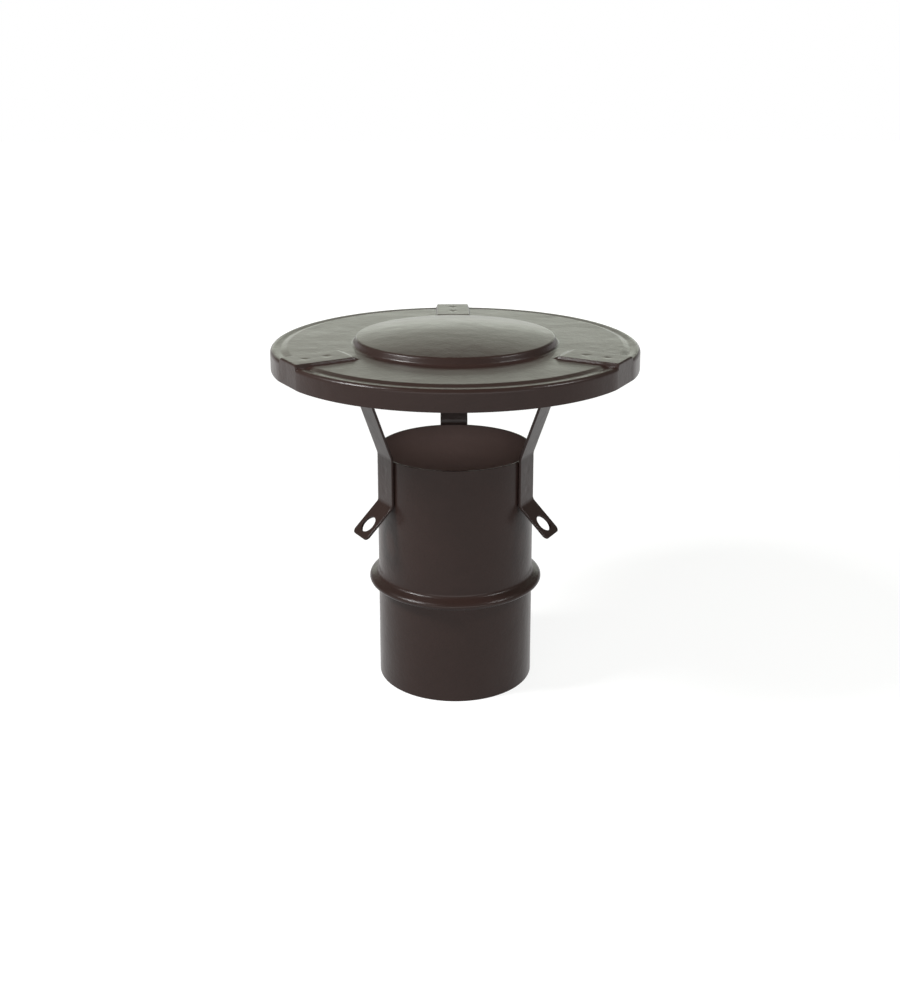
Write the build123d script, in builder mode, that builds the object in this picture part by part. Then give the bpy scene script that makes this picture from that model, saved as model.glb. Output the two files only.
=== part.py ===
from build123d import *
from math import cos, radians, sin
import os

# A rain cap for a stove flue, in enamelled sheet steel. The pipe end pushes into the flue as far as its
# rolled bead, and a pressed lid stands clear of the open mouth on three bent straps.
# Millimetres. Z runs up the pipe's axis, and the origin is the centre of the pipe's lower rim.

sheet = 1.2  # thickness of the pipe and of the lid

# Pipe, with a bead rolled out of its wall
pipe_radius = 60.0  # outside, for a 120 mm flue
pipe_length = 184.0
bead_foot = 75.5  # the spigot below this goes into the flue
bead_middle = 79.6
bead_shoulder = 85.3
bead_flank_reach = 11.0  # the two flanks would meet this far out of the wall
bead_foot_round = 2.0
bead_crown_round = 3.2
bead_shoulder_round = 3.5

# Lid, from its middle outwards
boss_crown_rise = 6.5
boss_wall = 5.2
boss_top_radius = 74.8
boss_foot_radius = 77.2
boss_round = 2.5
brim_top = 266.8
groove_start = 126.0
groove_middle = 130.5
groove_depth = 1.5
groove_round = 4.0
rim_crest = 134.5
rim_drop = 0.8  # the rim outside the groove stands this much below the brim
rim_round = 3.0
lid_radius = 138.5
skirt_bottom = 250.5

# Straps, and the pads that the press raises in the brim as channels for their feet
strap_count = 3
strap_names = ["strap_back", "strap_left", "strap_right"]
first_strap_angle = 90.0
strap_width = 22.0
strap_thickness = 2.0
strap_slope = 0.363  # outward for each unit of height
weld_depth = 0.3  # how far the weld seats the flat strap in the round wall
mouth_bend = 186.4  # height of the bend at the pipe's mouth
mouth_bend_round = 10.0
ear_bend = 148.5
ear_bend_round = 6.0
ear_angle = 43.5  # below level
ear_length = 32.0
ear_hole_radius = 6.5
ear_hole_edge = 11.3  # from the hole's centre to the ear's tip
ear_corner = 4.0
foot_end = 133.0
foot_bend_round = 8.0
foot_corner = 3.0
pad_height = 2.0
pad_start = 87.0
pad_ramp = 5.5
pad_width = 28.0
pad_flat = 137.5  # the rim is pressed flat across the pad's end, this far from the axis
pad_round = 1.6

# The pipe is one wall, drawn as its outer line, thickened inwards and turned about the axis.
with BuildPart() as pipe:
    with BuildSketch(Plane.XZ):
        with BuildLine():
            FilletPolyline(
                (pipe_radius, 0),
                (pipe_radius, bead_foot),
                (pipe_radius + bead_flank_reach, bead_middle),
                (pipe_radius, bead_shoulder),
                (pipe_radius, pipe_length),
                radius=[bead_foot_round, bead_crown_round, bead_shoulder_round],
            )
            offset(amount=sheet, side=Side.LEFT)
        make_face()
    revolve(axis=Axis.Z)
pipe.part.label = "flue_pipe"


def lid_form(inset):
    """The lid as a solid block, with every face drawn in from the outside by the inset."""
    boss_top = brim_top + boss_wall - inset
    crown_top = boss_top + boss_crown_rise
    brim = brim_top - inset
    boss_edge_radius = boss_top_radius - inset
    crown_radius = (boss_edge_radius**2 + boss_crown_rise**2) / (2 * boss_crown_rise)
    radius = lid_radius - inset
    with BuildPart() as pad:
        with BuildSketch(Plane.XZ):
            with BuildLine():
                Polyline(
                    (pad_start, skirt_bottom),
                    (pad_start, brim),
                    (pad_start + pad_ramp, brim + pad_height),
                    (pad_flat - inset, brim + pad_height),
                    (pad_flat - inset, skirt_bottom),
                    close=True,
                )
            make_face()
        extrude(amount=pad_width / 2 - inset, both=True)
        raised = pad.edges().filter_by(lambda edge: edge.center().Z > brim + pad_height / 4)
        fillet(raised, radius=pad_round - inset)
    with BuildPart() as form:
        with BuildSketch(Plane.XZ):
            with BuildLine():
                RadiusArc((0, crown_top), (boss_edge_radius, boss_top), crown_radius)
                FilletPolyline(
                    (boss_edge_radius, boss_top),
                    (boss_foot_radius - inset, brim),
                    (groove_start, brim),
                    (groove_middle, brim - groove_depth),
                    (rim_crest, brim - rim_drop),
                    (radius, brim - rim_drop),
                    (radius, skirt_bottom),
                    radius=[
                        boss_round + inset,
                        groove_round - inset,
                        groove_round + inset,
                        groove_round - inset,
                        rim_round - inset,
                    ],
                )
                Polyline((radius, skirt_bottom), (0, skirt_bottom), (0, crown_top))
            profile = make_face()
            boss_edge = profile.vertices().sort_by_distance((boss_edge_radius, 0, boss_top))[0]
            fillet(boss_edge, radius=boss_round - inset)
        revolve(axis=Axis.Z)
        with PolarLocations(0, strap_count, start_angle=first_strap_angle):
            add(pad.part)
        with BuildSketch(Plane.XY.offset(skirt_bottom)):
            with PolarLocations(pad_flat - inset + pad_width / 2, strap_count, start_angle=first_strap_angle):
                Rectangle(pad_width, 3 * pad_width)
        extrude(amount=crown_top - skirt_bottom, mode=Mode.SUBTRACT)
    return form.part


# The lid is pressed from one disc, so its inside follows its outside a sheet's thickness in.
with BuildPart() as lid:
    add(lid_form(0))
    add(lid_form(sheet), mode=Mode.SUBTRACT)
lid.part.label = "rain_lid"

# One strap, bent from flat bar: a foot in the lid's channel, a slanted leg, a length welded down the
# pipe, and an ear turned out below it with a hole for a guy wire. It is drawn as the face that seats
# on the lid and on the pipe, and thickened away from them.
seat_radius = pipe_radius - weld_depth
foot_top = brim_top - sheet + pad_height
leg_top_radius = seat_radius + strap_slope * (foot_top - mouth_bend)
ear_out = Vector(cos(radians(ear_angle)), 0, -sin(radians(ear_angle)))
ear_normal = Vector(sin(radians(ear_angle)), 0, cos(radians(ear_angle)))
ear_tip = Vector(seat_radius, 0, ear_bend) + ear_out * ear_length
hole_centre = ear_tip - ear_out * ear_hole_edge
with BuildPart() as strap:
    with BuildSketch(Plane.XZ):
        with BuildLine():
            FilletPolyline(
                (foot_end, foot_top),
                (leg_top_radius, foot_top),
                (seat_radius, mouth_bend),
                (seat_radius, ear_bend),
                (ear_tip.X, ear_tip.Z),
                radius=[foot_bend_round, mouth_bend_round, ear_bend_round],
            )
            offset(amount=strap_thickness, side=Side.LEFT)
        make_face()
    extrude(amount=strap_width / 2, both=True)
    foot_corners = strap.edges().filter_by(Axis.Z).sort_by(Axis.X)[-2:]
    fillet(foot_corners, radius=foot_corner)
    across_ear = strap.edges().filter_by(Axis((0, 0, 0), ear_normal))
    fillet(across_ear.sort_by(Axis.Z)[:2], radius=ear_corner)
    with BuildSketch(Plane(hole_centre, x_dir=ear_out, z_dir=ear_normal)):
        Circle(ear_hole_radius)
    extrude(amount=2 * strap_thickness, both=True, mode=Mode.SUBTRACT)
    with BuildSketch(Plane.XY.offset(bead_shoulder)):
        Circle(pipe_radius)
    extrude(amount=mouth_bend + mouth_bend_round - bead_shoulder, mode=Mode.SUBTRACT)

os.makedirs("parts", exist_ok=True)
pieces = [pipe.part, lid.part]
for index, name in enumerate(strap_names):
    angle = first_strap_angle + index * 360 / strap_count
    piece = strap.part.rotate(Axis.Z, angle)
    piece.label = name
    pieces.append(piece)
for piece in pieces:
    export_step(piece, f"parts/{piece.label}.step")
    size = piece.bounding_box().size
    print(piece.label, "volume", round(piece.volume), "size", [round(length, 1) for length in size])
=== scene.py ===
# %% [markdown]
# # A rain cap for a stove flue
#
# The object is a short length of enamelled stove pipe with a pressed lid over its open end. Three
# bent straps hold the lid up. This lesson rebuilds its looks around a packed CAD model, which gives
# the frame: every new piece goes exactly where the CAD piece is, and then stands for it.
#
# The whole cap is dark, glossy and smooth, so almost all that we see of it is reflection.
# Reflections show every flaw of a surface. That is why each piece is modelled again here with many
# fine faces and softened edges, rather than shown as the CAD program's loose triangles.

# %% Load the frame
import math

import bpy
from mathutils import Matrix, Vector


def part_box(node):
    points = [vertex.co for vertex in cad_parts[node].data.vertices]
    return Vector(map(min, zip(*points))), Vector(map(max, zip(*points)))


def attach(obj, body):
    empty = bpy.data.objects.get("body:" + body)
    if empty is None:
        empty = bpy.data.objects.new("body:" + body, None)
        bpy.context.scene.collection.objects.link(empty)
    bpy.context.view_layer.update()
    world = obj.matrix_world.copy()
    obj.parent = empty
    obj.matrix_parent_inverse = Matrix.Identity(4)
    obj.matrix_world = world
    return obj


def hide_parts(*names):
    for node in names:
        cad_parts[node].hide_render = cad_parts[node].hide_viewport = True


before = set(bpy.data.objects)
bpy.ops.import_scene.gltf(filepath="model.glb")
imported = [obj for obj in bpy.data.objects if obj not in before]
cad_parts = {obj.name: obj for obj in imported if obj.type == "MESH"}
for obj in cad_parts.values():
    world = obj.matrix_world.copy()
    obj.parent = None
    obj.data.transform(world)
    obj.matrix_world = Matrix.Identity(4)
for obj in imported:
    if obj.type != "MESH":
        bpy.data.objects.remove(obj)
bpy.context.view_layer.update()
print("nodes:", sorted(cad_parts))

# %% [markdown]
# ## Sizes
#
# Blender works in metres, and sheet metal is measured in millimetres. One factor keeps the numbers
# readable. The heights that the CAD boxes can give are read from them, and the rest are the sizes a
# sheet metal worker would write on the drawing. The last three say how near two places have to be
# to count as the same one.

# %% Sizes
MM = 0.001
SHEET = 1.2 * MM
PIPE_RADIUS = 60 * MM
LID_RADIUS = 138.5 * MM
_, pipe_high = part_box("flue_pipe")
lid_low, lid_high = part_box("rain_lid")
PIPE_TOP = pipe_high.z
SKIRT_BOTTOM = lid_low.z
CROWN_TOP = lid_high.z
SAME_CORNER = 0.02 * MM
SAME_LEVEL = 0.01 * MM
SAME_VERTEX = 0.002 * MM
print("pipe top", round(PIPE_TOP / MM, 1), "mm, skirt bottom", round(SKIRT_BOTTOM / MM, 1), "mm")

# %% [markdown]
# ## Choosing what to work on
#
# In edit mode a tool works on whatever is selected. By hand you would click the wanted corners, or
# drag a box over them. A script selects by a rule instead, such as all faces at one height, and the
# helpers below do that. They also switch edit mode on and off, which most mesh tools need.


# %% Select by a rule
def select_nothing():
    """Leaves edit mode and deselects every object."""
    if bpy.context.object and bpy.context.object.mode != "OBJECT":
        bpy.ops.object.mode_set(mode="OBJECT")
    bpy.ops.object.select_all(action="DESELECT")


def only(piece):
    """Makes one object the selected and active one, in object mode."""
    select_nothing()
    piece.select_set(True)
    bpy.context.view_layer.objects.active = piece


def edit_all(piece):
    """Enters edit mode on one object, with its whole mesh selected."""
    only(piece)
    bpy.ops.object.mode_set(mode="EDIT")
    bpy.ops.mesh.select_all(action="SELECT")


def pick(piece, kind, test):
    """Selects the vertices, edges or faces that pass a test, and leaves edit mode on.

    A face is tested at its middle, and an edge passes when both its ends do.
    """
    only(piece)
    bpy.ops.object.mode_set(mode="EDIT")
    bpy.ops.mesh.select_mode(type=kind)
    bpy.ops.mesh.select_all(action="DESELECT")
    bpy.ops.object.mode_set(mode="OBJECT")
    mesh = piece.data
    if kind == "VERT":
        spots = [(vertex, [vertex.co]) for vertex in mesh.vertices]
    elif kind == "EDGE":
        spots = [(edge, [mesh.vertices[end].co for end in edge.vertices]) for edge in mesh.edges]
    else:
        spots = [(face, [face.center]) for face in mesh.polygons]
    for element, places in spots:
        element.select = all(test(co) for co in places)
    chosen = sum(element.select for element, places in spots)
    bpy.ops.object.mode_set(mode="EDIT")
    return chosen


# %% [markdown]
# ## The pipe's line
#
# A pipe, a bead and a lid are all round about one axis, so each is a line that is turned. By hand
# you would start from one vertex, extrude it from point to point to draw the line, and round its
# corners with a vertex bevel. The two helpers do the same with the same operators. Blender has no
# single-vertex primitive without an add-on, so a plane is merged into one vertex first.
#
# The pipe is one wall of sheet. A machine rolls a bead out of it near the lower end, to stop it at
# the right depth in the flue. The bead is a narrow ridge with two steep flanks, a round crest and a
# tight round at either side, so it is drawn as three corners with three radii.

# %% Draw the pipe's line
BEAD_FOOT = (PIPE_RADIUS, 75.5 * MM)
BEAD_CREST = (PIPE_RADIUS + 11 * MM, 79.6 * MM)
BEAD_SHOULDER = (PIPE_RADIUS, 85.3 * MM)
BEAD_ROUNDS = [
    (BEAD_FOOT, 2 * MM, 8),
    (BEAD_CREST, 3.2 * MM, 16),
    (BEAD_SHOULDER, 3.5 * MM, 10),
]


def draw_line(name, points):
    """Draws a line in the XZ plane through points (radius, height) by extruding one vertex."""
    select_nothing()
    bpy.ops.mesh.primitive_plane_add(size=PIPE_RADIUS, location=(0, 0, 0))
    piece = bpy.context.object
    piece.name = name
    piece.data.name = name
    bpy.ops.object.mode_set(mode="EDIT")
    bpy.ops.mesh.select_mode(type="VERT")
    bpy.ops.mesh.merge(type="CENTER")
    bpy.ops.transform.translate(value=(points[0][0], 0, points[0][1]))
    for (radius, height), (next_radius, next_height) in zip(points, points[1:]):
        step = (next_radius - radius, 0, next_height - height)
        bpy.ops.mesh.extrude_region_move(TRANSFORM_OT_translate={"value": step})
    bpy.ops.object.mode_set(mode="OBJECT")
    return piece


def round_corners(piece, rounds):
    """Rounds a line's corners, each given as (point, radius, segments).

    A vertex bevel asks how far from the corner it starts, which is the tangent's length. At a right
    angle its curve is an arc. At a sharper corner it stays nearer to the corner than an arc does.
    """
    vertices = piece.data.vertices
    for point, radius, segments in rounds:
        spot = Vector((point[0], 0, point[1]))
        pick(piece, "VERT", lambda co: (co - spot).length < SAME_CORNER)
        bpy.ops.object.mode_set(mode="OBJECT")
        corner = next(vertex.index for vertex in vertices if vertex.select)
        ways = []
        for edge in piece.data.edges:
            if corner in edge.vertices:
                other = next(index for index in edge.vertices if index != corner)
                ways.append(vertices[other].co - vertices[corner].co)
        turn = math.pi - ways[0].angle(ways[1])
        tangent = radius * math.tan(turn / 2)
        bpy.ops.object.mode_set(mode="EDIT")
        bpy.ops.mesh.bevel(offset=tangent, segments=segments, affect="VERTICES")
    bpy.ops.object.mode_set(mode="OBJECT")


pipe = draw_line(
    "pipe_wall", [(PIPE_RADIUS, 0), BEAD_FOOT, BEAD_CREST, BEAD_SHOULDER, (PIPE_RADIUS, PIPE_TOP)]
)
round_corners(pipe, BEAD_ROUNDS)
print("points on the pipe's line:", len(pipe.data.vertices))

# %% [markdown]
# ## Spinning the pipe
#
# Spin copies the line round the axis and joins the copies with faces. The last copy lies on the
# first, so vertices that lie on each other are merged. Then the normals have to agree and point
# outwards, because the shading and the wall's thickness both go by them. Spin counts a turn as
# positive when it runs clockwise from above, hence the minus sign.

# %% Spin the pipe
PIPE_STEPS = 256


def spin_line(piece, angle, steps):
    """Spins the whole line about the Z axis, anticlockwise from above."""
    edit_all(piece)
    bpy.ops.mesh.spin(steps=steps, angle=-angle, center=(0, 0, 0), axis=(0, 0, 1))
    bpy.ops.object.mode_set(mode="OBJECT")


def face_outwards(piece):
    """Sews a sheet's seams, and makes its normals agree and point away from the cap's middle."""
    edit_all(piece)
    bpy.ops.mesh.remove_doubles(threshold=SAME_VERTEX)
    bpy.ops.mesh.normals_make_consistent(inside=False)
    bpy.ops.object.mode_set(mode="OBJECT")
    farthest = max(piece.data.polygons, key=lambda face: face.center.xy.length + face.center.z)
    middle = Vector((0, 0, farthest.center.z / 2))
    if farthest.normal.dot(farthest.center - middle) < 0:
        bpy.ops.object.mode_set(mode="EDIT")
        bpy.ops.mesh.flip_normals()
        bpy.ops.object.mode_set(mode="OBJECT")


spin_line(pipe, math.tau, PIPE_STEPS)
face_outwards(pipe)
print("pipe spun to", len(pipe.data.polygons), "faces")

# %% [markdown]
# ## The pipe's wall and rims
#
# Solidify gives the sheet its thickness, inwards from the drawn face. The two rims then get a small
# bevel, because enamel never lies on a knife edge: it pulls back and leaves a soft bright line.

# %% Give the pipe its wall
RIM_BEVEL = 0.35 * MM


def thicken(piece, thickness):
    """Gives a sheet its wall, on the side that the normals don't point to, and applies it."""
    only(piece)
    wall = piece.modifiers.new("wall", "SOLIDIFY")
    wall.thickness = thickness
    wall.offset = -1
    wall.use_even_offset = True
    wall.use_quality_normals = True
    bpy.ops.object.modifier_apply(modifier=wall.name)


def soften_rim(piece, height):
    """Bevels both edges of the wall's flat rim at a height."""
    rim_faces = pick(piece, "FACE", lambda co: abs(co.z - height) < SAME_LEVEL)
    bpy.ops.mesh.region_to_loop()
    bpy.ops.mesh.bevel(offset=RIM_BEVEL, segments=3, affect="EDGES")
    bpy.ops.object.mode_set(mode="OBJECT")
    print("softened a rim of", rim_faces, "faces")


thicken(pipe, SHEET)
soften_rim(pipe, 0)
soften_rim(pipe, PIPE_TOP)

# %% [markdown]
# ## Standing for the CAD piece
#
# A finished piece is shaded smooth, except across edges sharper than an angle, and weighted normals
# keep its flat faces looking flat beside the small bevels. Then it rides on the frame's one body
# and stands for its CAD piece. How far its box is off the CAD piece's box shows any slip. The pipe
# is off by 0.8 mm at the bead's crest, a sharp corner whose bevel isn't quite an arc.

# %% Let the pipe stand for its node
SMOOTH_UP_TO = math.radians(50)


def stand_for(piece, node):
    """Smooths a finished piece's shading, rides it on the one body, and replaces its node."""
    only(piece)
    bpy.ops.object.shade_smooth_by_angle(angle=SMOOTH_UP_TO)
    even = piece.modifiers.new("flat faces stay flat", "WEIGHTED_NORMAL")
    even.keep_sharp = True
    bpy.ops.object.modifier_apply(modifier=even.name)
    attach(piece, "root")
    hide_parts(node)
    low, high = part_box(node)
    off = max(
        abs(end(corner[axis] for corner in piece.bound_box) - side[axis])
        for axis in range(3)
        for end, side in ((min, low), (max, high))
    )
    print(piece.name, "has", len(piece.data.polygons), "faces")
    print("its box is off its node's box by", round(off / MM, 2), "mm at most")


stand_for(pipe, "flue_pipe")

# %% [markdown]
# ## The lid's line
#
# The lid is pressed from one disc. From its middle outwards the line is a shallow crown, a short
# steep wall that makes the middle stand up as a boss, a flat brim, a shallow groove that stiffens
# the rim, a round shoulder and a straight skirt. The crown is an arc, so its points come from the
# circle's formula. The brim gets many rings close together, because the pads and their welds will
# be pressed there.

# %% Draw the lid's line
BRIM_TOP = 266.8 * MM
BOSS_EDGE = (74.8 * MM, 272 * MM)
BOSS_FOOT = (77.2 * MM, BRIM_TOP)
GROOVE_START = (126 * MM, BRIM_TOP)
GROOVE_MIDDLE = (130.5 * MM, BRIM_TOP - 1.5 * MM)
RIM_CREST = (134.5 * MM, BRIM_TOP - 0.8 * MM)
RIM_CORNER = (LID_RADIUS, RIM_CREST[1])
RIM_ROUND = 3 * MM
SKIRT_RINGS = (8 * MM, 4 * MM, 0)
CROWN_RINGS = 20
LID_ROUNDS = [
    (BOSS_EDGE, 2.5 * MM, 8),
    (BOSS_FOOT, 2.5 * MM, 8),
    (GROOVE_START, 4 * MM, 4),
    (GROOVE_MIDDLE, 4 * MM, 6),
    (RIM_CREST, 4 * MM, 3),
    (RIM_CORNER, RIM_ROUND, 12),
]


def brim_rings(start, gap, count):
    """Points on the flat brim at even gaps, given in millimetres."""
    return [((start + gap * step) * MM, BRIM_TOP) for step in range(count)]


crown_rise = CROWN_TOP - BOSS_EDGE[1]
crown_radius = (BOSS_EDGE[0] ** 2 + crown_rise**2) / (2 * crown_rise)
crown = []
for ring in range(CROWN_RINGS):
    radius = BOSS_EDGE[0] * ring / CROWN_RINGS
    crown.append((radius, CROWN_TOP - crown_radius + math.sqrt(crown_radius**2 - radius**2)))
ramp_rings = brim_rings(start=84, gap=0.8, count=15)
weld_rings = brim_rings(start=97, gap=1.2, count=24)
skirt = [(LID_RADIUS, SKIRT_BOTTOM + rise) for rise in SKIRT_RINGS]
lid = draw_line(
    "lid_sheet",
    crown + [BOSS_EDGE, BOSS_FOOT] + ramp_rings + weld_rings
    + [GROOVE_START, GROOVE_MIDDLE, RIM_CREST, RIM_CORNER] + skirt,
)
round_corners(lid, LID_ROUNDS)
print("points on the lid's line:", len(lid.data.vertices))

# %% [markdown]
# ## A third of the lid
#
# The lid is the same three times round, so only a third of a turn is spun, with one pad in its
# middle. It is easier to place a pad that lies along the X axis, so the line is first turned back
# by half of that third. The rotate operator counts turns as spin does, hence its minus sign.

# %% Spin a third of the lid
THIRD = math.tau / 3
THIRD_STEPS = 80


def turn_selected(angle):
    """Turns what is selected in edit mode about the Z axis, anticlockwise from above."""
    bpy.ops.transform.rotate(value=-angle, orient_axis="Z", center_override=(0, 0, 0))


def turn_about_axis(piece, angle):
    """Turns all of a piece about the Z axis, anticlockwise from above."""
    edit_all(piece)
    turn_selected(angle)
    bpy.ops.object.mode_set(mode="OBJECT")


turn_about_axis(lid, -THIRD / 2)
spin_line(lid, THIRD, THIRD_STEPS)
print("a third of the lid:", len(lid.data.vertices), "vertices")

# %% [markdown]
# ## Cutting the pad's outline
#
# Each strap's foot lies under the brim in a channel, and on top that channel shows as a raised pad.
# Its sides run straight out to the rim, while the spun faces fan out, so pushing faces up would
# leave a stepped edge. Cutting the mesh along straight lines with bisect first gives the pad its
# own edges. The cuts lie close together where the pad's walls and the spot welds will be.

# %% Cut the pad's outline
PAD_HALF_WIDTH = 14 * MM
PAD_WALL = 1.6 * MM
PAD_WALL_FOOT = PAD_HALF_WIDTH + 0.3 * MM
PAD_WALL_CUTS = 8
PAD_START = 86.4 * MM
PAD_RAMP = 6.6 * MM
WELD_RADIUS = 4.5 * MM
WELD_CUTS = 9


def near_pad(co):
    """Whether a place is on the pad or just beside it."""
    return co.x > PAD_START - PAD_RAMP and abs(co.y) < PAD_HALF_WIDTH + PAD_WALL


wall_cuts = [PAD_WALL_FOOT - PAD_WALL * step / PAD_WALL_CUTS for step in range(PAD_WALL_CUTS + 1)]
weld_cuts = [WELD_RADIUS * (2 * step / (WELD_CUTS - 1) - 1) for step in range(WELD_CUTS)]
pad_cuts = wall_cuts + [-cut for cut in wall_cuts] + weld_cuts
for cut in pad_cuts:
    pick(lid, "FACE", near_pad)
    bpy.ops.mesh.bisect(plane_co=(0, cut, 0), plane_no=(0, 1, 0), use_fill=False)
bpy.ops.object.mode_set(mode="OBJECT")
print("pad cuts:", len(pad_cuts), "vertices now:", len(lid.data.vertices))

# %% [markdown]
# ## Pressing the pad
#
# The press is a move of vertices by a formula, as a sculpting brush would do it: a share of 1 on
# the pad, 0 beside it, and a smooth step along the wall between. Every vertex goes that share of
# the way from the lid's form to the pad's form, so the wall, the ramp and the flat end at the rim
# all come out of one rule. The two spot welds that hold the foot are pressed as shallow dishes in
# the same pass.

# %% Press the pad
PAD_HEIGHT = 2 * MM
PAD_END = 137.5 * MM
PAD_CORNER = 1.6 * MM
WELD_PLACES = [107 * MM, 123.5 * MM]
WELD_DEPTH = 0.4 * MM


def smooth_step(share):
    """0 below 0, 1 above 1, and level at both ends."""
    share = min(max(share, 0), 1)
    return share * share * (3 - 2 * share)


def dish(along, across, depth):
    """How deep a weld's dish is at a place, given from the weld's middle."""
    near = min(math.hypot(along, across) / WELD_RADIUS, 1)
    return depth * (1 - near**2) ** 2


def pad_form(co):
    """Where a vertex of the plain lid lies on a lid that is pad all round."""
    pad_top = BRIM_TOP + PAD_HEIGHT
    corner_z = pad_top - PAD_CORNER
    round_z = RIM_CORNER[1] - RIM_ROUND
    from_axis = math.hypot(co.x, co.y)
    if co.z <= round_z:
        down = (co.z - SKIRT_BOTTOM) / (round_z - SKIRT_BOTTOM)
        return Vector((PAD_END, co.y, SKIRT_BOTTOM + down * (corner_z - SKIRT_BOTTOM)))
    if from_axis > LID_RADIUS - RIM_ROUND:
        lean = math.atan2(from_axis - LID_RADIUS + RIM_ROUND, co.z - round_z)
        out = PAD_END - PAD_CORNER + PAD_CORNER * math.sin(lean)
        return Vector((out, co.y, corner_z + PAD_CORNER * math.cos(lean)))
    return Vector((co.x, co.y, pad_top))


for vertex in lid.data.vertices:
    co = vertex.co.copy()
    across = smooth_step((PAD_WALL_FOOT - abs(co.y)) / PAD_WALL)
    along = smooth_step((co.x - PAD_START) / PAD_RAMP)
    co = co.lerp(pad_form(co), across * along)
    if vertex.co.z > BRIM_TOP - PAD_HEIGHT:
        for place in WELD_PLACES:
            co.z -= dish(co.x - place, co.y, WELD_DEPTH)
    co.x = min(co.x, PAD_END)
    vertex.co = co
pad_high = max(vertex.co.z for vertex in lid.data.vertices if near_pad(vertex.co))
print("pad's top at", round(pad_high / MM, 1), "mm")

# %% [markdown]
# ## Closing the lid
#
# Two copies of the third, turned by a third and two thirds, close the circle. Merging by distance
# sews the seams and the middle. Only then are the normals made to agree, and only after that does
# Solidify give the sheet its wall, because it goes by them.

# %% Close the lid
PAD_ANGLES = [math.radians(degrees) for degrees in (90, 210, 330)]
SEAM_SLACK = 1e-4


def in_first_third(co):
    """Whether a place is in the third that was spun, its seams included."""
    return abs(math.atan2(co.y, co.x)) <= THIRD / 2 + SEAM_SLACK


for copy_number in (1, 2):
    pick(lid, "VERT", in_first_third)
    bpy.ops.mesh.duplicate()
    turn_selected(copy_number * THIRD)
    bpy.ops.object.mode_set(mode="OBJECT")
turn_about_axis(lid, PAD_ANGLES[0])
face_outwards(lid)
thicken(lid, SHEET)
soften_rim(lid, SKIRT_BOTTOM)
stand_for(lid, "rain_lid")

# %% [markdown]
# ## The straps
#
# A strap is one length of flat bar with three bends: its foot lies in the lid's channel, its leg
# slants in to the pipe's mouth, and below the stretch that is welded to the pipe it turns out into
# an ear. So the bends are drawn from the side as one line, just as the pipe's wall was, and the
# line is then extruded sideways to the bar's width. The drawn face is the one that seats on the lid
# and the pipe.

# %% Bend a strap
STRAP_WIDTH = 22 * MM
STRAP_SLOPE = 0.363
SEAT_RADIUS = PIPE_RADIUS - 0.3 * MM
FOOT_TOP = BRIM_TOP + PAD_HEIGHT - SHEET
FOOT_END = (133 * MM, FOOT_TOP)
MOUTH_BEND = (SEAT_RADIUS, 186.4 * MM)
FOOT_BEND = (SEAT_RADIUS + STRAP_SLOPE * (FOOT_TOP - MOUTH_BEND[1]), FOOT_TOP)
EAR_BEND = (SEAT_RADIUS, 148.5 * MM)
EAR_ANGLE = math.radians(43.5)
EAR_LENGTH = 32 * MM
STRAP_ROUNDS = [(FOOT_BEND, 8 * MM, 10), (MOUTH_BEND, 10 * MM, 6), (EAR_BEND, 6 * MM, 8)]


def on_ear(reach):
    """The point (radius, height) that lies a reach down the ear from its bend."""
    return (
        SEAT_RADIUS + reach * math.cos(EAR_ANGLE),
        EAR_BEND[1] - reach * math.sin(EAR_ANGLE),
    )


EAR_TIP = on_ear(EAR_LENGTH)
strap = draw_line("strap_back_bar", [FOOT_END, FOOT_BEND, MOUTH_BEND, EAR_BEND, EAR_TIP])
round_corners(strap, STRAP_ROUNDS)
edit_all(strap)
bpy.ops.transform.translate(value=(0, -STRAP_WIDTH / 2, 0))
bpy.ops.mesh.extrude_region_move(TRANSFORM_OT_translate={"value": (0, STRAP_WIDTH, 0)})
bpy.ops.object.mode_set(mode="OBJECT")
print("strap bent from", len(strap.data.polygons), "faces")

# %% [markdown]
# ## The ear's hole and the corners
#
# A vertex bevel rounds the corners in the plane of the sheet. The ear's hole is a circle laid in
# the place of the ear's one face, and filled between its ring and the ear's edge. Doing this while
# the bar is still a thin sheet gives both faces and the hole's wall in one go when the sheet is
# thickened. The ear is flat from the end of its bend down, and only edges below that are filled.

# %% Round the corners and punch the ear
FOOT_CORNER = 3 * MM
EAR_CORNER = 4 * MM
EAR_HOLE_RADIUS = 6.5 * MM
EAR_HOLE_EDGE = 11.3 * MM
EAR_HOLE_POINTS = 56
EAR_FLAT_TOP = EAR_BEND[1] - 1.7 * MM

hole_out, hole_up = on_ear(EAR_LENGTH - EAR_HOLE_EDGE)
pick(strap, "VERT", lambda co: co.x > FOOT_END[0] - SAME_LEVEL)
bpy.ops.mesh.bevel(offset=FOOT_CORNER, segments=6, affect="VERTICES")
pick(strap, "VERT", lambda co: co.z < EAR_TIP[1] + SAME_LEVEL)
bpy.ops.mesh.bevel(offset=EAR_CORNER, segments=8, affect="VERTICES")
pick(strap, "FACE", lambda co: co.z < hole_up + EAR_HOLE_RADIUS)
bpy.ops.mesh.delete(type="ONLY_FACE")
bpy.ops.mesh.primitive_circle_add(
    vertices=EAR_HOLE_POINTS,
    radius=EAR_HOLE_RADIUS,
    location=(hole_out, 0, hole_up),
    rotation=(0, EAR_ANGLE, 0),
)
ear_edges = pick(strap, "EDGE", lambda co: co.z < EAR_FLAT_TOP)
bpy.ops.mesh.fill(use_beauty=True)
bpy.ops.object.mode_set(mode="OBJECT")
print("ear filled round its hole from", ear_edges, "edges")

# %% [markdown]
# ## The welds on the pipe
#
# Two spot welds hold the bar to the pipe, and each leaves a shallow dish. The bar is cut finely
# only where a dish comes, first across and then along.

# %% Press the strap's welds
WALL_WELDS = [159 * MM, 175 * MM]
WALL_WELD_DEPTH = 0.15 * MM


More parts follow.
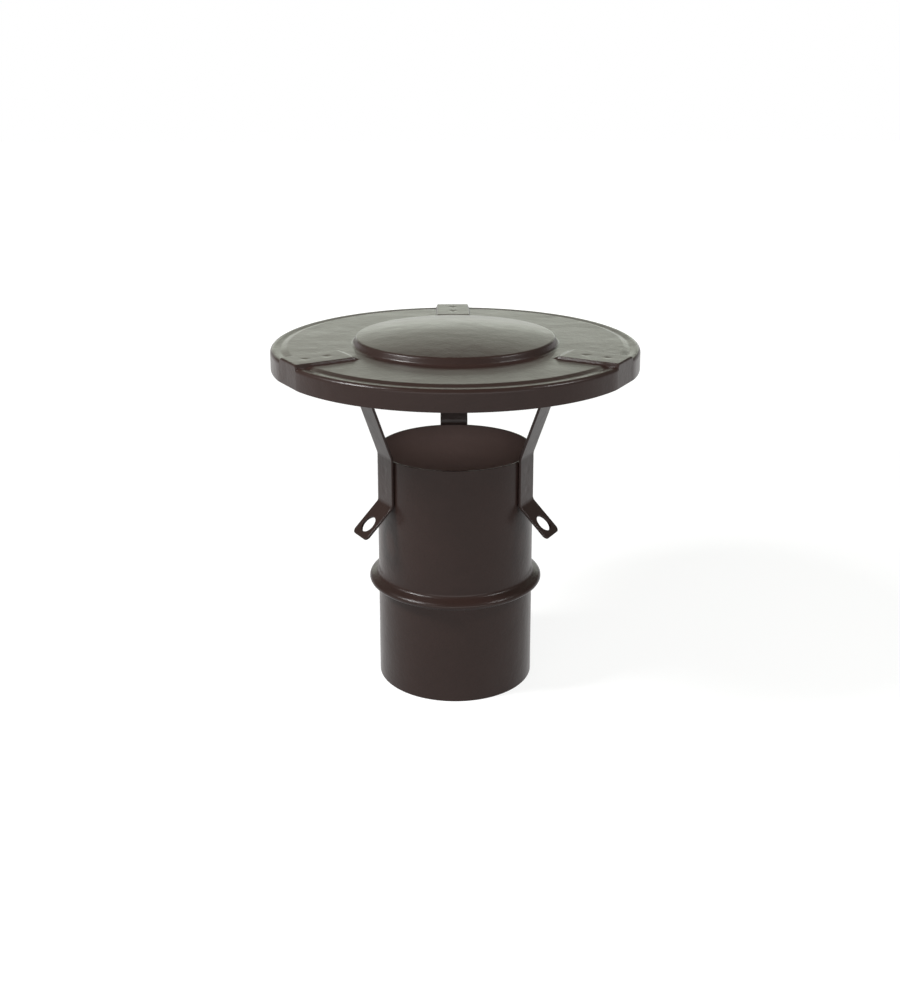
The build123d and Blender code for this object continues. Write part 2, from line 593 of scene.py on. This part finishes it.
def on_wall(co):
    """Whether a place is on the stretch that lies against the pipe."""
    return co.x < SEAT_RADIUS + SAME_LEVEL


for place in WALL_WELDS:
    for cut in weld_cuts:
        pick(strap, "FACE", on_wall)
        bpy.ops.mesh.bisect(plane_co=(0, 0, place + cut), plane_no=(0, 0, 1), use_fill=False)
    for cut in weld_cuts:
        pick(strap, "FACE", lambda co: on_wall(co) and abs(co.z - place) < WELD_RADIUS)
        bpy.ops.mesh.bisect(plane_co=(0, cut, 0), plane_no=(0, 1, 0), use_fill=False)
bpy.ops.object.mode_set(mode="OBJECT")
for vertex in strap.data.vertices:
    for place in WALL_WELDS:
        vertex.co.x -= dish(vertex.co.z - place, vertex.co.y, WALL_WELD_DEPTH)
print("strap with its welds:", len(strap.data.polygons), "faces")

# %% [markdown]
# ## Thickness, edges and copies
#
# After Solidify, the sharp edges are found by their angle and rounded, as bar stock's edges are
# after tumbling and a coat of enamel. The one finished strap is then copied twice, and each of the
# three is turned to its pad.

# %% Finish one strap and copy it
STRAP_THICKNESS = 2 * MM
STRAP_EDGE = 0.5 * MM
SHARP_FROM = math.radians(60)

face_outwards(strap)
thicken(strap, STRAP_THICKNESS)
only(strap)
bpy.ops.object.mode_set(mode="EDIT")
bpy.ops.mesh.select_mode(type="EDGE")
bpy.ops.mesh.select_all(action="DESELECT")
bpy.ops.mesh.edges_select_sharp(sharpness=SHARP_FROM)
bpy.ops.mesh.bevel(offset=STRAP_EDGE, segments=3, affect="EDGES")
bpy.ops.object.mode_set(mode="OBJECT")

straps = [strap]
for name in ("strap_left_bar", "strap_right_bar"):
    only(strap)
    bpy.ops.object.duplicate(linked=False)
    twin = bpy.context.object
    twin.name = name
    twin.data.name = name
    straps.append(twin)
for piece, angle, node in zip(straps, PAD_ANGLES, ("strap_back", "strap_left", "strap_right")):
    turn_about_axis(piece, angle)
    stand_for(piece, node)

# %% [markdown]
# ## Writing shader maths as sums
#
# A material is a graph of nodes, and sums on its values need many small Math nodes. A short class
# makes them readable: it wraps a node's output, and each plus or times written on it adds the node
# that does it. Everything that isn't a sum goes through one method, which adds a node with its
# settings. The methods below it only name the nodes that come back often.


# %% A small workbench for materials
class Value:
    """A node's output in a material. Sums written on it add their Math nodes."""

    def __init__(self, bench, socket):
        self.bench = bench
        self.socket = socket

    def __add__(self, other):
        return self.bench.add("ShaderNodeMath", {"operation": "ADD"}, {0: self, 1: other})

    def __mul__(self, other):
        return self.bench.add("ShaderNodeMath", {"operation": "MULTIPLY"}, {0: self, 1: other})

    __radd__ = __add__
    __rmul__ = __mul__


class Bench:
    """Adds nodes to one node tree."""

    def __init__(self, tree):
        self.tree = tree
        self.tree.nodes.clear()

    def add(self, kind, settings=None, sockets=None, output=0):
        """Adds a node, sets it up, and fills its sockets with values or links."""
        node = self.tree.nodes.new(kind)
        for name, setting in (settings or {}).items():
            setattr(node, name, setting)
        for name, value in (sockets or {}).items():
            if isinstance(value, Value):
                self.tree.links.new(value.socket, node.inputs[name])
            else:
                node.inputs[name].default_value = value
        return Value(self, node.outputs[output] if node.outputs else None)

    def mix(self, share, first, second):
        """Goes from a first colour to a second by a share."""
        settings = {"data_type": "RGBA", "clamp_factor": True}
        sockets = {"Factor": share, 6: first, 7: second}
        return self.add("ShaderNodeMix", settings, sockets, output=2)

    def ramp(self, value, start, end, low=0, kind="SMOOTHSTEP"):
        """Goes from low to 1 while a value goes from start to end."""
        sockets = {"Value": value, "From Min": start, "From Max": end, "To Min": low, "To Max": 1}
        return self.add("ShaderNodeMapRange", {"interpolation_type": kind}, sockets)

    def below(self, value, limit):
        """1 where a value is below a limit, and 0 elsewhere."""
        return self.add("ShaderNodeMath", {"operation": "LESS_THAN"}, {0: value, 1: limit})

    def larger(self, first, second):
        """The larger of two values."""
        return self.add("ShaderNodeMath", {"operation": "MAXIMUM"}, {0: first, 1: second})

    def length(self, vector):
        """How long a vector is."""
        return self.add("ShaderNodeVectorMath", {"operation": "LENGTH"}, {0: vector}, "Value")

    def height(self, vector):
        """How far up a vector points."""
        return self.add("ShaderNodeSeparateXYZ", {}, {"Vector": vector}, "Z")


print("the bench can", [name for name in vars(Bench) if not name.startswith("_")])

# %% [markdown]
# ## The enamel
#
# Stove pipe is dipped or sprayed with a glass powder and fired, which leaves a hard brown-black
# glaze. Its own colour is almost nothing: seen straight on it is nearly black with a little red in
# it. What makes it look like enamel is the reflection, which grows from a few percent head-on to
# nearly all of the light at a glancing angle. So the lid's top, seen from just above its edge,
# looks pale and grey, and the upright pipe looks dark, with one and the same material.
#
# A fired coat is never dead flat. Three noises, in object coordinates so that they stay on the
# metal, give the faint wave of thin sheet, the mottle of an uneven coat and the fine orange peel of
# the glaze. The first two shift the colour here, and all three come back in the relief.

# %% The glaze
GLAZE_DARK = (0.02, 0.0115, 0.0095, 1)
GLAZE_LIGHT = (0.03, 0.0165, 0.014, 1)
MOTTLE_IN_COLOUR = 0.6

enamel = bpy.data.materials.new("stove_enamel")
enamel.use_nodes = True
bench = Bench(enamel.node_tree)
place = bench.add("ShaderNodeTexCoord", output="Object")


def noise(scale, detail, roughness):
    """A noise that stays on the metal. A larger scale makes it finer."""
    sockets = {"Vector": place, "Scale": scale, "Detail": detail, "Roughness": roughness}
    return bench.add("ShaderNodeTexNoise", {}, sockets)


haze = noise(scale=14, detail=3, roughness=0.5)
mottle = noise(scale=70, detail=4, roughness=0.6)
peel = noise(scale=420, detail=2, roughness=0.5)
shift = MOTTLE_IN_COLOUR * mottle + (1 - MOTTLE_IN_COLOUR) * haze
glaze = bench.mix(shift, GLAZE_DARK, GLAZE_LIGHT)
print("nodes for the glaze:", len(enamel.node_tree.nodes))

# %% [markdown]
# ## The pipe's inside
#
# The inner wall gets hardly any light, yet it should look as light as the outside. So its colour
# is painted fill light: a lighter, matt brown, painted lighter still over the first centimetres
# below the mouth, the deeper it lies and the less real light reaches it. The mask asks for faces
# that look at the axis, below the mouth, and either within the wall's radius or lower than the
# ears.
# So it takes the bead's hollow too, and leaves the straps and the lid alone.

# %% The pipe's inside
# Painted fill light for the inside: a lighter brown just below the mouth, lighter still deeper
# down.
PAINTED_FILL_AT_MOUTH = (0.1, 0.067, 0.06, 1)
PAINTED_FILL_DEEP = (0.33, 0.225, 0.2, 1)
PAINTED_FILL_REACH = 45 * MM
BELOW_EARS = 100 * MM
WITHIN_WALL = PIPE_RADIUS - 0.8 * SHEET

height = bench.height(place)
flat = bench.add("ShaderNodeVectorMath", {"operation": "MULTIPLY"}, {0: place, 1: (1, 1, 0)})
normal = bench.add("ShaderNodeTexCoord", output="Normal")
outwards = bench.add(
    "ShaderNodeVectorMath", {"operation": "DOT_PRODUCT"}, {0: flat, 1: normal}, output="Value"
)
faces_axis = bench.below(outwards, 0)
below_mouth = bench.below(height, PIPE_TOP - RIM_BEVEL)
within_wall = bench.below(bench.length(flat), WITHIN_WALL)
below_ears = bench.below(height, BELOW_EARS)
inside = below_mouth * faces_axis * bench.larger(within_wall, below_ears)
depth = bench.ramp(height, PIPE_TOP, PIPE_TOP - PAINTED_FILL_REACH, kind="LINEAR")
# The inside's painted fill light, lighter with depth where less light reaches.
painted_fill = bench.mix(depth, PAINTED_FILL_AT_MOUTH, PAINTED_FILL_DEEP)
tone = bench.mix(inside, glaze, painted_fill)
print("nodes with the inside:", len(enamel.node_tree.nodes))

# %% [markdown]
# ## Relief and gloss
#
# The coat's relief is far too fine to model, so two Bump nodes bend the normal instead: one for the
# broad waves, and one on top of it for the orange peel. The mottle also roughens the gloss by a
# little, and the inside, whose colour is painted fill light, by a lot.

# %% Relief and gloss
WAVE_HEIGHT = 0.8 * MM
MOTTLE_IN_WAVES = 0.4
PEEL_HEIGHT = 0.08 * MM
PEEL_STRENGTH = 0.8
GLAZE_ROUGHNESS = 0.27
MOTTLE_ROUGHNESS = 0.06
INSIDE_ROUGHNESS = 0.3
GLASS_IOR = 1.5
HEAD_ON_GLOSS = 0.2

relief = haze + MOTTLE_IN_WAVES * mottle
waves = bench.add(
    "ShaderNodeBump", {}, {"Height": relief, "Strength": 1, "Distance": WAVE_HEIGHT}
)
grain = bench.add(
    "ShaderNodeBump",
    {},
    {"Height": peel, "Normal": waves, "Strength": PEEL_STRENGTH, "Distance": PEEL_HEIGHT},
)
coat = bench.add(
    "ShaderNodeBsdfPrincipled",
    {},
    {
        "Base Color": tone,
        "Roughness": GLAZE_ROUGHNESS + MOTTLE_ROUGHNESS * mottle + INSIDE_ROUGHNESS * inside,
        "IOR": GLASS_IOR,
        "Specular IOR Level": HEAD_ON_GLOSS,
        "Normal": grain,
    },
)
bench.add("ShaderNodeOutputMaterial", {}, {"Surface": coat})
for piece in [pipe, lid] + straps:
    piece.data.materials.clear()
    piece.data.materials.append(enamel)
print("enamel nodes:", len(enamel.node_tree.nodes))

# %% [markdown]
# ## The floor
#
# A product cut-out stands on white. The floor is pale paper that takes the lamps' light and the
# cap's shadow. To bring it up to white without more light, it also glows, but only for the camera
# and in the mirror images that the enamel shows. The glow grows with the distance, because the
# lamps light the paper less the further off it is. So the sheet reads as one white up to the
# horizon.

# %% The floor
FLOOR_SIDE = 12
SHADOW_REACH = 0.5
WHITE_FROM = 1.5
GLOW_BY_THE_CAP = 0.77
PAPER = (0.31, 0.31, 0.31, 1)
WHITE = (1, 1, 1, 1)

bpy.ops.mesh.primitive_plane_add(size=FLOOR_SIDE, location=(0, 0, 0))
floor = bpy.context.object
floor.name = "floor"
paper = bpy.data.materials.new("paper")
paper.use_nodes = True
bench = Bench(paper.node_tree)
camera_rays, glossy_rays, clear_rays = [
    bench.add("ShaderNodeLightPath", output=f"Is {kind} Ray")
    for kind in ("Camera", "Glossy", "Transmission")
]
looks = bench.larger(camera_rays, bench.larger(glossy_rays, clear_rays))
distance = bench.length(bench.add("ShaderNodeTexCoord", output="Object"))
level = bench.ramp(distance, SHADOW_REACH, WHITE_FROM, low=GLOW_BY_THE_CAP)
diffuse = bench.add("ShaderNodeBsdfDiffuse", {}, {"Color": PAPER})
glow = bench.add("ShaderNodeEmission", {}, {"Color": WHITE, "Strength": looks * level})
both = bench.add("ShaderNodeAddShader", {}, {0: diffuse, 1: glow})
bench.add("ShaderNodeOutputMaterial", {}, {"Surface": both})
floor.data.materials.append(paper)
print("floor", [round(side, 1) for side in floor.dimensions[:2]], "m")

# %% [markdown]
# ## The surroundings
#
# Dark gloss shows what is around it, so the room matters as much as the lamps. The world is white
# up to a little above the horizon and a dim wall higher up, as in a room with a lit white table.

# %% The surroundings
HORIZON_END = math.sin(math.radians(4))
WALL_START = math.sin(math.radians(11))
DIM_WALL = (0.15, 0.16, 0.14, 1)

world = bpy.data.worlds.new("studio")
bpy.context.scene.world = world
world.use_nodes = True
bench = Bench(world.node_tree)
climb = bench.height(bench.add("ShaderNodeTexCoord", output="Generated"))
shade = bench.mix(bench.ramp(climb, HORIZON_END, WALL_START), WHITE, DIM_WALL)
sky = bench.add("ShaderNodeBackground", {}, {"Color": shade, "Strength": 1})
bench.add("ShaderNodeOutputWorld", {}, {"Surface": sky})
print("world nodes:", len(world.node_tree.nodes))

# %% [markdown]
# ## The light
#
# Dark gloss is lit by what it mirrors, so the lamps are placed as mirror images rather than as
# beams. Two boxes far behind show in the lid's top: the low one gives its pale far brim, the high
# one the crown. A wide box in front reaches under the lid, into the pipe's mouth. The box at the
# left is small and strong, because a small round form like the bead shows only a small lamp as a
# clear highlight. A weaker one answers it at the right.
#
# Each row gives a lamp's name, place, width and height, brightness and tint. The brightness is what
# a mirror image shows, and it is turned into watts by the lamp's area.

# %% The light
GREENISH = (0.93, 1, 0.86, 1)
LAMP_AIM = Vector((0, 0, 0.15))
SOFTBOXES = [
    ("box_front", (0, -1.6, 0.6), (3.2, 0.56), 3.2, WHITE),
    ("box_left", (-0.79, -0.26, 0.99), (0.26, 0.28), 65, WHITE),
    ("box_right", (0.79, -0.26, 0.95), (0.22, 0.18), 36, WHITE),
    ("box_back_low", (0, 2.5, 0.62), (2.4, 0.36), 2.5, GREENISH),
    ("box_back_high", (0, 2, 1.17), (2, 0.5), 1.4, GREENISH),
]

for name, spot, size, brightness, tint in SOFTBOXES:
    light = bpy.data.lights.new(name, "AREA")
    light.shape = "RECTANGLE"
    light.size, light.size_y = size
    light.energy = brightness * math.pi * size[0] * size[1]
    light.color = tint[:3]
    lamp = bpy.data.objects.new(name, light)
    bpy.context.scene.collection.objects.link(lamp)
    lamp.location = spot
    lamp.rotation_euler = (LAMP_AIM - Vector(spot)).to_track_quat("-Z", "Y").to_euler()
    lamp.visible_camera = False
    print(name, round(light.energy, 1), "W")

# %% [markdown]
# ## The camera
#
# The camera's place was solved from the photo: the lid's and the mouth's ellipses, the bead's ends
# and the ears each give a few points, and one camera makes them all agree. It stands about a metre
# off and looks down by fourteen degrees. The shift of the lens is the crop of the original picture.

# %% The camera
CAMERA_PLACE = (-16.3 * MM, -934.9 * MM, 479.9 * MM)
LOOKS_DOWN_BY = 14.20
LOOKS_RIGHT_BY = 1
SENSOR_WIDTH = 36
LENS = 45.76
CROP_SHIFT = (-0.0053, -0.1282)

camera_data = bpy.data.cameras.new("camera")
camera_data.sensor_width = SENSOR_WIDTH
camera_data.lens = LENS
camera_data.shift_x, camera_data.shift_y = CROP_SHIFT
camera = bpy.data.objects.new("camera", camera_data)
bpy.context.scene.collection.objects.link(camera)
camera.location = CAMERA_PLACE
camera.rotation_euler = (math.radians(90 - LOOKS_DOWN_BY), 0, math.radians(-LOOKS_RIGHT_BY))
bpy.context.scene.camera = camera
bpy.context.scene.view_settings.view_transform = "Standard"
from_mouth = camera.location - Vector((0, 0, PIPE_TOP))
print("camera", round(from_mouth.length, 3), "m from the pipe's mouth")

# %% [markdown]
# ## Finish
#
# Each piece's box was set beside its CAD piece's box as it took that piece's place. They must
# agree, because every piece was drawn where the CAD has it.
